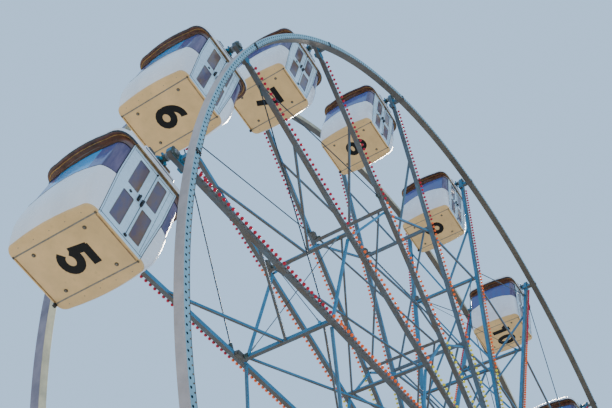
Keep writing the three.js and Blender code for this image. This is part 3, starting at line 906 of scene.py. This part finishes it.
def cabin_roof():
    """Moulded roof with an overhanging lip: outlines of the cabin's plan, larger at the lip and drawn in
    towards the crown, with a flat ceiling inside the walls."""
    steps = [
        (CEILING_LEVEL, 0.628, 0.671), (-0.301, 0.628, 0.671), (-0.301, 0.680, 0.713),
        (-0.296, 0.722, 0.720), (-0.301, 0.756, 0.727), (-0.303, 0.762, 0.729), (-0.300, 0.788, 0.734),
        (-0.290, 0.793, 0.736), (-0.268, 0.793, 0.736), (-0.264, 0.795, 0.739), (-0.212, 0.795, 0.739),
        (-0.180, 0.786, 0.733, 0.002), (-0.140, 0.756, 0.714, 0.006), (-0.108, 0.71, 0.680, 0.02),
        (-0.080, 0.64, 0.620, 0.05), (-0.058, 0.53, 0.53, 0.10), (-0.041, 0.40, 0.40, 0.17)]
    finishes = [LINING] * 2 + [WOOD] * 4 + [RUBBER] * 3 + [GEL_WHITE] * 8
    return [loft([roof_outline(*step) for step in steps], finishes)]


def slab(front, back, finish):
    """Closed sheet between two grids of points, front and back, joined round their edge."""
    rows, columns = front.shape[:2]
    size = rows * columns
    row, column = np.meshgrid(np.arange(rows - 1), np.arange(columns - 1), indexing="ij")
    at = (row * columns + column).ravel()
    quads = np.stack([at, at + 1, at + columns + 1, at + columns], 1)
    edge = np.concatenate([np.arange(columns), np.arange(1, rows) * columns + columns - 1,
                           (rows - 1) * columns + np.arange(columns - 2, -1, -1),
                           np.arange(rows - 2, 0, -1) * columns])
    turn = np.roll(edge, -1)
    rim = np.stack([turn, edge, edge + size, turn + size], 1)
    points = np.concatenate([front.reshape(-1, 3), back.reshape(-1, 3)])
    return turned_out(points, [(quads, finish), (quads[:, ::-1] + size, finish), (rim, finish)])


def cabin_glazing(middle):
    """Wrapped window round each end, from violet by the doors to the middle's tint, and the door panes."""
    levels = cabin_levels()
    low, high = UPPER_PANE_ROWS
    # The sheets reach a little way under the seals.
    levels[low] -= 0.008
    levels[high] += 0.008
    front, back = (cabin_skin(levels, inset)[low:high + 1] for inset in (0.010, 0.016))
    forms = []
    for start in END_STARTS:
        span = end_span(start)
        near, last = CORNER_COUNT - 1, len(span) - 1
        cuts = [0, near, near + 3, last - near - 3, last - near, last]
        for first, stop, tint in zip(cuts, cuts[1:], ("violet", "dusk", middle, "dusk", "violet")):
            part = span[first:stop + 1]
            forms.append(slab(front[:, part], back[:, part], f"tinted_acrylic_{tint}"))
    return forms + [
        block(((left + right) / 2, side * (DOOR_FACE - 0.007), (bottom + top) / 2),
              (right - left + 0.012, 0.006, top - bottom + 0.012), "tinted_acrylic_door", 0.002)
        for left, right, bottom, top in PANES for side in (-1, 1)]


def window_sill(start):
    """Path along the sill of the window round an end, with the skin's outward direction at each point."""
    row = cabin_skin(cabin_levels())[UPPER_PANE_ROWS[0], end_span(start)]
    ahead = np.gradient(row, axis=0)
    out = np.column_stack([ahead[:, 1], -ahead[:, 0], np.zeros(len(row))])
    return row, out / np.linalg.norm(out, axis=1)[:, None]


def door_edge(side_x, shift):
    """Line up the edge of the flat door panel on the front face."""
    level = np.linspace(-1.832, -0.306, 12)
    panel = np.interp(level, LEVELS, PANEL_HALVES) + shift
    return np.column_stack([side_x * panel, np.full(12, -DOOR_FACE), level])


def door_face_trim():
    """Seals, seams, handles, locks and the gutter of the front door face."""
    face = -DOOR_FACE
    forms = []
    for left, right, bottom, top in PANES:
        flat = rounded_outline((right - left) / 2, (top - bottom) / 2, 0.02, 3)
        path = np.column_stack([flat[:, 0] + (left + right) / 2, np.full(len(flat), face),
                                flat[:, 1] + (bottom + top) / 2])
        forms.append(sweep(path, strip_section(0.007, 0.002), FRONT, SILICONE, closed=True))
    for side in (-1, 1):
        forms.append(sweep(door_edge(side, 0.002), strip_section(0.009), FRONT, RUBBER))
        forms.append(sweep(door_edge(side, -0.026), strip_section(0.005, 0.002), FRONT, PLASTIC))
    # Straight strips: two seams, the strip that covers one, and the lines at head and foot.
    for (x, z), (end_x, end_z), width, proud, finish in (
            ((LEAF_SEAM, DOOR_FOOT), (LEAF_SEAM, DOOR_HEAD), 0.009, 0.003, RUBBER),
            ((0.334, DOOR_FOOT), (0.334, DOOR_HEAD), 0.005, 0.002, PLASTIC),
            ((LEAF_SEAM + 0.022, DOOR_FOOT), (LEAF_SEAM + 0.022, DOOR_HEAD), 0.026, 0.006, SKY_LIT_ENAMEL),
            ((-0.40, -0.352), (0.40, -0.352), 0.006, 0.003, RUBBER),
            # The line at the foot is a painted shadow along the bottom of the door face.
            ((-0.378, -1.806), (0.378, -1.806), 0.009, 0.003, PAINTED_SHADE)):
        ends = [(x, face, z), (end_x, face, end_z)]
        forms.append(sweep(ends, strip_section(width, proud), FRONT, finish))
    # Two handles, each with its plate, boss and lever.
    for x, z in ((-0.023, -1.032), (0.051, -1.062)):
        forms += blocks(PLASTIC, 0.004, ((x, face - 0.006, z), (0.044, 0.012, 0.13)),
                        ((x, face - 0.028, z + 0.02), (0.030, 0.034, 0.030)))
        lever = [(x, face - 0.040, z + 0.025), (x - 0.004, face - 0.040, z - 0.085)]
        forms.append(beam(*lever, 0.026, 0.016, PLASTIC, (0, 1, 0)))
    lock = (-0.167, face, -1.069)
    return forms + [
        lathe([(0.016, 0), (0.016, 0.010), (0.011, 0.018)], (0.054, face, -0.352), FRONT, PLASTIC, 10),
        block((0.054, face - 0.010, -1.765), (0.05, 0.022, 0.03), PLASTIC),
        lathe([(0.024, 0), (0.024, 0.008), (0.017, 0.012)], lock, FRONT, PLASTIC, 14),
        lathe([(0.010, 0.008), (0.010, 0.016), (0.007, 0.018)], lock, FRONT, TURNED, 10),
        # Gold band on the lip, and over it a white gutter box with a dark slot along its face.
        block((0.0, face - 0.027, -0.284), (0.86, 0.006, 0.016), GOLD, 0.002),
        block((0.0, face - 0.027, -0.268), (0.86, 0.005, 0.008), WOOD, 0.0015),
        block((-0.010, face - 0.012, -0.170), (0.62, 0.040, 0.080), GEL_WHITE, 0.006),
        block((-0.015, face - 0.033, -0.176), (0.59, 0.005, 0.016), PLASTIC, 0.002),
        block((-0.190, face + 0.014, -0.070), (0.135, 0.05, 0.070), CAST_GREY, 0.008),
        block((0.130, face + 0.014, -0.070), (0.140, 0.05, 0.080), RUSTED, 0.008),
    ]


def cabin_trim():
    """Both door faces, the window seals, the lines on the lip and the fittings under the floor."""
    forms = both_sides(door_face_trim())
    for start in END_STARTS:
        path, out = window_sill(start)
        forms.append(sweep(path, strip_section(0.008), out, RUBBER))
    forms.append(sweep(roof_outline(-0.2985, 0.738, 0.7235), strip_section(0.011), DOWN, GOLD, True))
    # Joints across the underside, and the lines along its two door sides.
    for way in (-1, 1):
        for x, y, end_x, end_y, width, finish in (
                (way * 0.393, -0.684, way * 0.393, 0.684, 0.020, SILICONE),
                (-0.37, way * 0.676, 0.37, way * 0.676, 0.011, GOLD),
                (-0.37, way * 0.663832, 0.37, way * 0.663832, 0.008, WOOD)):
            ends = [(x, y, UNDERSIDE), (end_x, end_y, UNDERSIDE)]
            forms.append(sweep(ends, strip_section(width), DOWN, finish))
        for y in (-0.67965, 0.67965):
            forms.append(block((way * 0.393, y, UNDERSIDE - 0.003), (0.036, 0.026, 0.014), PLUG))
    # One black stop hangs at the corner under the rear door face.
    forms.append(block((0.396, 0.692, UNDERSIDE - 0.016), (0.052, 0.046, 0.056), PLASTIC, 0.006))
    plugs = grid((-0.298, 0.298), (-0.42, 0.42), UNDERSIDE)
    rivets = grid((-0.475, 0.475), (-0.52, -0.26, 0.0, 0.26, 0.52), UNDERSIDE)
    for profile, finish, sides, places in (
            ([(0.027, -0.002), (0.027, 0.005), (0.020, 0.009)], PLUG, 12, plugs),
            ([(0.012, 0.006), (0.012, 0.013), (0.008, 0.015)], SILICONE, 8, plugs),
            ([(0.007, -0.001), (0.006, 0.003)], SILICONE, 6, rivets)):
        forms.append(copies(lathe(profile, (0, 0, 0), DOWN, finish, sides), places))
    return forms


def cabin_hangers():
    """Blue brackets on the roof, the bearing barrel, and the shouldered pin with its nut, on both sides."""
    cheek = [(-0.15, -0.10), (0.15, -0.10), (0.075, 0.045), (0.045, 0.075), (-0.045, 0.075),
             (-0.075, 0.045)]
    forms = [in_wheel_plane(cheek, y, 0.012, LUG_BLUE) for y in (-0.612, -0.672)]
    forms.append(block((0, -0.642, -0.094), (0.36, 0.12, 0.022), LUG_BLUE, 0.003))
    forms.append(bolts(grid((-0.16, 0.16), (-0.60, -0.684), -0.083), UP, 0.024))
    for profile, finish, sides in (
            ([(0.052, 0.590), (0.058, 0.596), (0.058, 0.700), (0.050, 0.708), (0.050, 0.775),
              (0.056, 0.781), (0.056, 0.800), (0.050, 0.806)], CAST_GREEN, 16),
            ([(0.060, 0.806), (0.060, 0.842)], TURNED, 16),
            ([(0.034, 0.842), (0.034, 0.978), (0.028, 0.984)], TURNED, 12),
            ([(0.050, 0.955), (0.050, 0.972), (0.040, 0.978)], TURNED, 6)):
        forms.append(lathe(profile, (0, 0, 0), FRONT, finish, sides))
    # Four webs stand round the barrel, half a right angle off the upright.
    for angle in np.radians([45, 135, 225, 315]):
        reach = np.array([math.cos(angle), 0, math.sin(angle)])
        start = reach * 0.045 + [0, -0.742, 0]
        forms.append(beam(start, start + reach * 0.052, 0.044, 0.026, LUG_BLUE, (0, 1, 0)))
    return both_sides(forms)


def arc(centre, reach, start, stop, steps=16):
    """Points on an ellipse: centre plus reach times cosine and sine, between two angles in degrees."""
    angle = np.radians(np.linspace(start, stop, steps))
    return np.column_stack([centre[0] + reach[0] * np.cos(angle), centre[1] + reach[1] * np.sin(angle)])


def numeral_strokes():
    """Middle lines of the strokes of each digit, one unit high; a line whose ends meet is a loop."""
    six = [arc((0.34, 0.335), (0.225, 0.235), 0, 360), arc((0.46, 0.40), (0.345, 0.50), 178, 78, 12)]
    strokes = {
        "0": [arc((0.34, 0.5), (0.225, 0.40), 0, 360, 24)],
        "1": [[(0.40, 0.0), (0.40, 1.0)], [(0.40, 0.86), (0.14, 0.68)]],
        "2": [[*arc((0.34, 0.67), (0.225, 0.23), 170, -35, 12), (0.12, 0.12)],
              [(0.03, 0.10), (0.66, 0.10)]],
        "3": [arc((0.32, 0.70), (0.20, 0.20), 160, -80, 12),
              arc((0.32, 0.31), (0.235, 0.21), 80, -160, 14)],
        "4": [[(0.42, 0.97), (0.10, 0.33)], [(0.02, 0.29), (0.70, 0.29)], [(0.46, 0.0), (0.46, 1.0)]],
        "5": [[(0.14, 0.90), (0.63, 0.90)], [(0.20, 0.96), (0.135, 0.46)],
              arc((0.325, 0.335), (0.235, 0.235), 148, -152, 18)],
        "6": six,
        "7": [[(0.04, 0.90), (0.68, 0.90)], [(0.60, 0.94), (0.27, 0.0)]],
        "8": [arc((0.34, 0.70), (0.19, 0.20), 0, 360), arc((0.34, 0.30), (0.225, 0.20), 0, 360)],
        "9": [[0.68, 1.0] - line for line in six],
    }
    return {digit: [np.array(line) for line in lines] for digit, lines in strokes.items()}


def numeral_forms(number, height):
    """The cabin's number as thin bands under the floor, its top towards the front, read from below."""
    strokes = numeral_strokes()
    text = str(number)
    advance, stroke_width = 0.76, 0.225
    stretch = 0.94 if len(text) > 1 else 1.12
    middle = (len(text) - 1) * advance / 2 + 0.34
    band = strip_section(stroke_width * height, 0.0012, 0.0008)
    forms = []
    for place, digit in enumerate(text):
        for layer, line in enumerate(strokes[digit]):
            line = (line + [place * advance - middle, -0.5]) * [stretch, 1] * height
            # Each stroke lies a hair lower than the last, so that none shares a face with another.
            level = UNDERSIDE - 0.0005 - 0.0003 * layer
            path = np.column_stack([line[:, 0], -line[:, 1] - 0.03, np.full(len(line), level)])
            loop = bool(np.allclose(path[0], path[-1]))
            forms.append(sweep(path[:-1] if loop else path, band, DOWN, "cut_vinyl_black", loop))
    return forms


# Hub and stand.

def hub_dressing():
    """Root plates of the spokes, bolt circles on the flanges and ribs on the drum."""
    forms, root = [], []
    for side in (-1, 1):
        y, face, out = side * CHORD_Y, side * HUB_FACE, (0, side, 0)
        ring = [(0.255, 0), (0.330, 0), (0.330, 0.030), (0.320, 0.036), (0.265, 0.036), (0.255, 0.030)]
        forms.append(bolts(circle(0.50, face, 2 * CABINS, FIRST_ANGLE + STEP / 4), out, 0.042, 0.022))
        forms.append(lathe(ring, (0, face, 0), out, HUB_PAINT, 32, hoop=True))
        for way in (-1, 1):
            plate = (way * (CHORD_HALF + 0.007), y, 0.74)
            held = grid(way * (CHORD_HALF + 0.014), (y - 0.035, y + 0.035), (0.66, 0.74, 0.82))
            root.append(block(plate, (0.014, 0.12, 0.27), HUB_PAINT, 0.003))
            root.append(bolts(held, (way, 0, 0), height=0.016))
    outline = [(-0.80, 0.32), (0.80, 0.32), (0.80, 0.52), (0.62, 0.37), (-0.62, 0.37), (-0.80, 0.52)]
    rib = plate_between(outline, -0.008, 0.008, PLATE_EASE, HUB_PAINT, np.eye(3)[[1, 2, 0]])
    return moved(forms + at_every_spoke(root) + at_every_spoke([rib], 0.5), HUB)


def bearing_dressing():
    """End cover, cap bolts and split line of each bearing block, and the plate on the end of the axle."""
    forms = []
    for side in (-1, 1):
        y, end, out = side * BEARING_Y, side * AXLE_END, (0, side, 0)
        face = y + side * BEARING_HALF
        ring = [(0.164, 0), (0.240, 0), (0.240, 0.018), (0.228, 0.030), (0.176, 0.030), (0.164, 0.018)]
        studs = grid((-0.27, 0.27), (y - 0.09, y + 0.09), 0)
        held = grid((-0.345, 0.345), (y - 0.14, y, y + 0.14), -0.492)
        forms += [
            lathe(ring, (0, face, 0), out, HUB_PAINT, 28, hoop=True),
            bolts(circle(0.205, face + side * 0.028, 8, math.pi / 8), out, 0.034, 0.018),
            lathe([(0.120, 0), (0.120, 0.012), (0.108, 0.020)], (0, end, 0), out, TURNED, 24),
            bolts(circle(0.075, end + side * 0.018, 6, 0.0), out, height=0.016),
            *[rod(stud + [0, 0, 0.163], stud + [0, 0, 0.273], 0.017, GALVANISED) for stud in studs],
            bolts(studs + [0, 0, 0.231], UP, 0.05, 0.03),
            block((0, y, 0.0), (0.672, 0.332, 0.010), RUBBER, 0.002),
            block((0, y, -0.505), (0.72, 0.38, 0.026), TOWER_PAINT),
            bolts(held, UP, height=0.018),
        ]
    return moved(forms, HUB)


def leg_dressing(across_x, across_y):
    """Bolted splices part way down a leg, and the gusseted plate at its foot."""
    top = np.array([across_x * LEG_TOP_SPREAD, across_y * BEARING_Y, LEG_TOP])
    foot = np.array([across_x * FOOT_SPREAD, across_y * FOOT_Y, SILL_TOP])
    axes = basis(foot - top, (0, 1, 0))
    steps = (-0.2, -0.1, 0.0, 0.1, 0.2)
    edge = [axes[0] * u + axes[1] * v for u in steps for v in steps if max(abs(u), abs(v)) == 0.2]
    forms = []
    for share in (0.34, 0.67):
        centre = top + (foot - top) * share
        for way in (-1, 1):
            out = axes[2] * way
            forms.append(block(centre + out * 0.014, (0.47, 0.47, 0.024), TOWER_PAINT, 0.003, axes))
            forms.append(bolts(centre + out * 0.026 + edge, out, 0.032, 0.018))
    base = foot + [0, 0, 0.013]
    held = base + grid((-0.235, 0.235), (-0.15, 0.0, 0.15), 0.013)
    forms += [block(base, (0.56, 0.41, 0.026), TOWER_PAINT), bolts(held, UP, 0.036, 0.022)]
    fin = [(-0.27, 0.0), (0.27, 0.0), (0.19, 0.16), (-0.19, 0.16)]
    fins = [in_wheel_plane(fin, y, 0.014, TOWER_PAINT) for y in (-0.12, 0.12)]
    return forms + moved(fins, base + [across_x * 0.03, across_y * 0.01, 0.012])


def sill_dressing():
    """Cleats where the ground frame's beams meet, and end plates with lifting holes' bosses."""
    ring = [(0.030, 0.0), (0.055, 0.0), (0.055, 0.004), (0.030, 0.004)]
    forms = []
    for side_x, side_y in ((-1, -1), (-1, 1), (1, -1), (1, 1)):
        y = side_y * (FOOT_Y - 0.41)
        for way in (-1, 1):
            x = side_x * FOOT_SPREAD + way * 0.212
            held = grid(x + way * 0.007, (y - 0.12, y, y + 0.12), (0.07, 0.15))
            forms.append(block((x, y, SILL_MIDDLE), (0.014, 0.38, 0.17), TOWER_PAINT, 0.003))
            forms.append(bolts(held, (way, 0, 0), 0.034, 0.018))
        end = side_x * SILL_END
        forms.append(block((end - side_x * 0.012, side_y * FOOT_Y, SILL_MIDDLE), (0.02, 0.42, 0.215),
                           TOWER_PAINT, 0.003))
        forms.append(lathe(ring, (end - side_x * 0.004, side_y * FOOT_Y, SILL_MIDDLE), (side_x, 0, 0),
                           GALVANISED, 16, hoop=True))
    return forms


def make_floor():
    """A flat sheet with rounded corners, just under the object."""
    surface("pale_studio_floor", "#d8d2c4", "#cdc6b7", 1800, 60, 0.85, 0.5)
    flat = rounded_outline(FLOOR_REACH, FLOOR_REACH, 20.0, 8)
    mesh = bpy.data.meshes.new("studio_floor")
    points = np.column_stack([flat, np.full(len(flat), -FLOOR_DROP)])
    mesh.from_pydata(points.tolist(), [], [list(range(len(flat)))])
    mesh.materials.append(bpy.data.materials["pale_studio_floor"])
    floor = bpy.data.objects.new("studio_floor", mesh)
    bpy.context.scene.collection.objects.link(floor)
    return floor


# Operators.

class WHEEL_OT_finishes(bpy.types.Operator):
    """Makes every finish and paints the CAD nodes that stay in view"""
    bl_idname = "wheel.finishes"
    bl_label = "Finishes"

    def execute(self, context):
        make_finishes(context.scene.wheel_colours)
        for name, node in frame["nodes"].items():
            for held in node.material_slots:
                held.material = bpy.data.materials[node_finish(name)]
        return {"FINISHED"}


class WHEEL_OT_spokes(bpy.types.Operator):
    """Adds the lamps, weld beads, bearings, tie sleeves and wires of the sixteen spokes"""
    bl_idname = "wheel.spokes"
    bl_label = "Spokes"

    def execute(self, context):
        sizes = context.scene.wheel_sizes
        lamps, fittings = spoke_lamps(sizes), spoke_fittings()
        for index, label in enumerate(labels()):
            forms = fittings + tie_sleeves(index) + crossing_wires(index, sizes.wire_radius)
            lamps_here, forms_here = (moved(at_spoke(held, index), HUB) for held in (lamps, forms))
            make_piece(f"spoke_{label}_lamps", lamps_here, "wheel")
            make_piece(f"spoke_{label}_fittings", forms_here, "wheel")
        return {"FINISHED"}


class WHEEL_OT_rims(bpy.types.Operator):
    """Builds the two pierced rims and their bolted joints"""
    bl_idname = "wheel.rims"
    bl_label = "Rims"

    def execute(self, context):
        hole = context.scene.wheel_sizes.hole_radius
        for name, side in (("front_rim", -1), ("rear_rim", 1)):
            make_piece(f"{name}_shell", moved(rim_shell(side, hole), HUB), "wheel", [name])
            make_piece(f"{name}_joints", moved(rim_fittings(side), HUB), "wheel")
        return {"FINISHED"}


class WHEEL_OT_cabins(bpy.types.Operator):
    """Builds the sixteen cabins: shells, glazing, trim, hangers and numerals"""
    bl_idname = "wheel.cabins"
    bl_label = "Cabins"

    def execute(self, context):
        height = context.scene.wheel_sizes.numeral_height
        shell, trim, hangers = cabin_shell() + cabin_roof(), cabin_trim(), cabin_hangers()
        glazings = (cabin_glazing("blue"), cabin_glazing("dusk"))
        for number, label in enumerate(labels(), 1):
            body = f"cabin_{label}"
            pivot = JOINTS[body]
            make_piece(f"{body}_shell", moved(shell, pivot), body, [body])
            parts = {"glazing": glazings[number in DUSKY_CABINS], "trim": trim, "hangers": hangers,
                     "numeral": numeral_forms(number, height)}
            for part, forms in parts.items():
                make_piece(f"{body}_{part}", moved(forms, pivot), body)
        return {"FINISHED"}


class WHEEL_OT_stand(bpy.types.Operator):
    """Dresses the hub, the bearings, the legs and the ground frame"""
    bl_idname = "wheel.stand"
    bl_label = "Hub and stand"

    def execute(self, context):
        make_piece("hub_fittings", hub_dressing(), "wheel")
        make_piece("bearing_fittings", bearing_dressing(), "stand")
        for front, across_y in (("front", -1), ("rear", 1)):
            for left, across_x in (("left", -1), ("right", 1)):
                forms = leg_dressing(across_x, across_y)
                make_piece(f"{front}_{left}_leg_fittings", forms, "stand")
        make_piece("sill_fittings", sill_dressing(), "stand")
        return {"FINISHED"}


class WHEEL_OT_stage(bpy.types.Operator):
    """Adds the pale floor, the soft light and the camera at the photograph's angle"""
    bl_idname = "wheel.stage"
    bl_label = "Stage"

    def execute(self, context):
        scene = context.scene
        floor = make_floor()
        world = bpy.data.worlds.new("soft_sky")
        world.use_nodes = True
        background = world.node_tree.nodes["Background"]
        background.inputs["Color"].default_value = rgba("#aed0f2")
        background.inputs["Strength"].default_value = SKY_STRENGTH
        scene.world = world
        for name, toward, strength, angle, colour in (
                ("key", (0.50, 0.25, 0.83), 3.4, 12, "#fff4e2"),
                ("fill", (0.6, -0.65, 0.3), 0.3, 60, "#dfeaf6")):
            light = bpy.data.lights.new(name, "SUN")
            light.energy, light.angle, light.color = strength, math.radians(angle), linear(colour)
            self.hang(scene, name, light, Vector(toward).to_track_quat("Z", "Y"))
        lens = bpy.data.cameras.new("photo_angle")
        lens.lens, lens.sensor_width = CAMERA_LENS, CAMERA_SENSOR
        lens.clip_start, lens.clip_end = 0.1, 400.0
        scene.camera = self.hang(scene, "photo_angle", lens, Quaternion(CAMERA_TURN))
        scene.camera.location = CAMERA_PLACE
        return {"FINISHED"}

    @staticmethod
    def hang(scene, name, held, turn):
        """An object that holds a light or a camera, turned."""
        holder = bpy.data.objects.new(name, held)
        holder.rotation_mode = "QUATERNION"
        holder.rotation_quaternion = turn
        scene.collection.objects.link(holder)
        return holder


STEPS = (WHEEL_OT_finishes, WHEEL_OT_spokes, WHEEL_OT_rims, WHEEL_OT_cabins, WHEEL_OT_stand,
         WHEEL_OT_stage)


class WHEEL_PT_panel(bpy.types.Panel):
    """Lists the steps that build the wheel's looks"""
    bl_idname = "WHEEL_PT_panel"
    bl_label = "Ferris wheel"
    bl_space_type = "VIEW_3D"
    bl_region_type = "UI"
    bl_category = "Wheel"

    def draw(self, context):
        for step in STEPS:
            self.layout.operator(step.bl_idname)
        for group in (context.scene.wheel_colours, context.scene.wheel_sizes):
            for name in group.__annotations__:
                self.layout.prop(group, name)


CLASSES = (WheelColours, WheelSizes, *STEPS, WHEEL_PT_panel)


def register():
    for held in CLASSES:
        bpy.utils.register_class(held)
    bpy.types.Scene.wheel_colours = PointerProperty(type=WheelColours)
    bpy.types.Scene.wheel_sizes = PointerProperty(type=WheelSizes)


def unregister():
    del bpy.types.Scene.wheel_sizes
    del bpy.types.Scene.wheel_colours
    for held in reversed(CLASSES):
        bpy.utils.unregister_class(held)


def main():
    register()
    bpy.ops.wheel.finishes()
    bpy.ops.wheel.spokes()
    bpy.ops.wheel.rims()
    bpy.ops.wheel.cabins()
    bpy.ops.wheel.stand()
    bpy.ops.wheel.stage()


if __name__ == "__main__":
    main()
